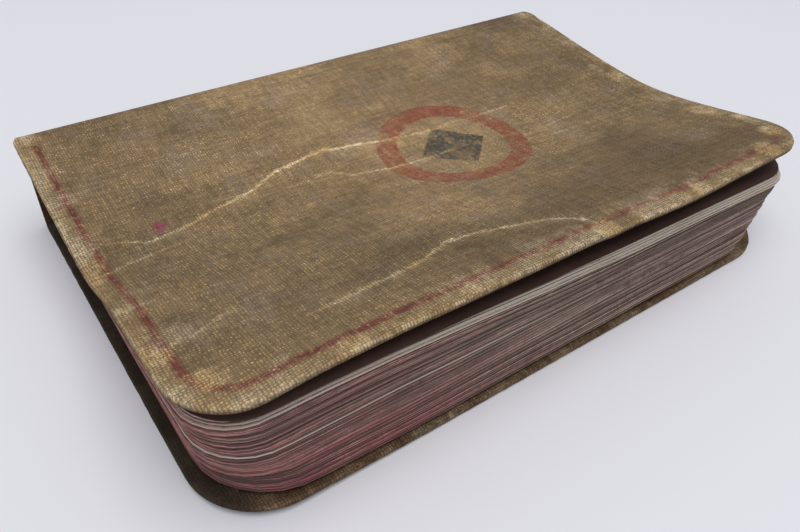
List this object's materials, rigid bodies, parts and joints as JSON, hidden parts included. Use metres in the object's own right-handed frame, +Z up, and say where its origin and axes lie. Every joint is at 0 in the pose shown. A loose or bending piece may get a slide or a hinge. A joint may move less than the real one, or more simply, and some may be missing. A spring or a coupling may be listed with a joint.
{
  "type": "pocket notebook",
  "caption": "Limp cloth-bound pocket notebook with sewn sections, round corners, a bordered and worn canvas cover and stained leaf edges.",
  "frame": {"origin": "centre of the underside of the back cover", "axes": "+X from the spine to the fore edge, +Y from the tail to the head, +Z up out of the front cover"},
  "size_m": [0.072, 0.11, 0.0222],
  "materials": {
    "cover_cloth": "faded khaki book cloth, open weave, worn",
    "board": "thin grey-brown millboard",
    "endpaper": "dark red-brown endpaper, matt",
    "leaves": "aged cream paper with a stained edge",
    "lining_paper": "brown kraft lining",
    "mull": "starched open gauze",
    "tape": "linen sewing tape",
    "thread": "linen sewing thread"
  },
  "bodies": {
    "back_cover": {"back_cover_cloth": "cover_cloth", "back_board": "board", "back_pastedown": "endpaper", "spine_cloth": "cover_cloth", "spine_lining": "lining_paper", "mull": "mull", "sewing_tape_tail": "tape", "sewing_tape_head": "tape", "kettle_stitch_tail": "thread", "kettle_stitch_head": "thread"},
    "back_flyleaf": {"back_flyleaf": "endpaper"},
    "section_08": {"section_08": "leaves"},
    "section_07": {"section_07": "leaves"},
    "section_06": {"section_06": "leaves"},
    "section_05": {"section_05": "leaves"},
    "section_04": {"section_04": "leaves"},
    "section_03": {"section_03": "leaves"},
    "section_02": {"section_02": "leaves"},
    "section_01": {"section_01": "leaves"},
    "front_flyleaf": {"front_flyleaf": "endpaper"},
    "front_cover": {"front_cover_cloth": "cover_cloth", "front_board": "board", "front_pastedown": "endpaper"}
  },
  "joints": [
    {"name": "back_flyleaf_hinge", "type": "hinge", "parent": "back_cover", "child": "back_flyleaf", "pos_m": [-0.03535, 0, 0.00133], "axis": [0, -1, 0], "range_deg": [0, 2.4]},
    {"name": "block_foot_hinge", "type": "hinge", "parent": "back_flyleaf", "child": "section_08", "pos_m": [-0.03535, 0, 0.00162], "axis": [0, -1, 0], "range_deg": [0, 2.4]},
    {"name": "fold_08_to_07", "type": "hinge", "parent": "section_08", "child": "section_07", "pos_m": [-0.03535, 0, 0.00344], "axis": [0, -1, 0], "range_deg": [0, 2.4]},
    {"name": "fold_07_to_06", "type": "hinge", "parent": "section_07", "child": "section_06", "pos_m": [-0.03535, 0, 0.00522], "axis": [0, -1, 0], "range_deg": [0, 2.4]},
    {"name": "fold_06_to_05", "type": "hinge", "parent": "section_06", "child": "section_05", "pos_m": [-0.03535, 0, 0.00701], "axis": [0, -1, 0], "range_deg": [0, 2.4]},
    {"name": "middle_opening", "type": "hinge", "parent": "section_05", "child": "section_04", "pos_m": [-0.03535, 0, 0.0088], "axis": [0, -1, 0], "range_deg": [0, 120], "deforming": ["spine_cloth", "spine_lining", "mull", "sewing_tape_tail", "sewing_tape_head", "kettle_stitch_tail", "kettle_stitch_head"]},
    {"name": "fold_04_to_03", "type": "hinge", "parent": "section_04", "child": "section_03", "pos_m": [-0.03535, 0, 0.01059], "axis": [0, -1, 0], "range_deg": [0, 2.4]},
    {"name": "fold_03_to_02", "type": "hinge", "parent": "section_03", "child": "section_02", "pos_m": [-0.03535, 0, 0.01238], "axis": [0, -1, 0], "range_deg": [0, 2.4]},
    {"name": "fold_02_to_01", "type": "hinge", "parent": "section_02", "child": "section_01", "pos_m": [-0.03535, 0, 0.01416], "axis": [0, -1, 0], "range_deg": [0, 2.4]},
    {"name": "block_top_hinge", "type": "hinge", "parent": "section_01", "child": "front_flyleaf", "pos_m": [-0.03535, 0, 0.01597], "axis": [0, -1, 0], "range_deg": [0, 2.4]},
    {"name": "front_cover_hinge", "type": "hinge", "parent": "front_flyleaf", "child": "front_cover", "pos_m": [-0.0356, 0, 0.017], "axis": [0, -1, 0], "range_deg": [0, 180]}
  ],
  "couplings": [
    {"joint": "back_flyleaf_hinge", "follows": "middle_opening", "ratio": 0.02},
    {"joint": "block_foot_hinge", "follows": "middle_opening", "ratio": 0.02},
    {"joint": "fold_08_to_07", "follows": "middle_opening", "ratio": 0.02},
    {"joint": "fold_07_to_06", "follows": "middle_opening", "ratio": 0.02},
    {"joint": "fold_06_to_05", "follows": "middle_opening", "ratio": 0.02},
    {"joint": "fold_04_to_03", "follows": "middle_opening", "ratio": 0.02},
    {"joint": "fold_03_to_02", "follows": "middle_opening", "ratio": 0.02},
    {"joint": "fold_02_to_01", "follows": "middle_opening", "ratio": 0.02},
    {"joint": "block_top_hinge", "follows": "middle_opening", "ratio": 0.02}
  ]
}
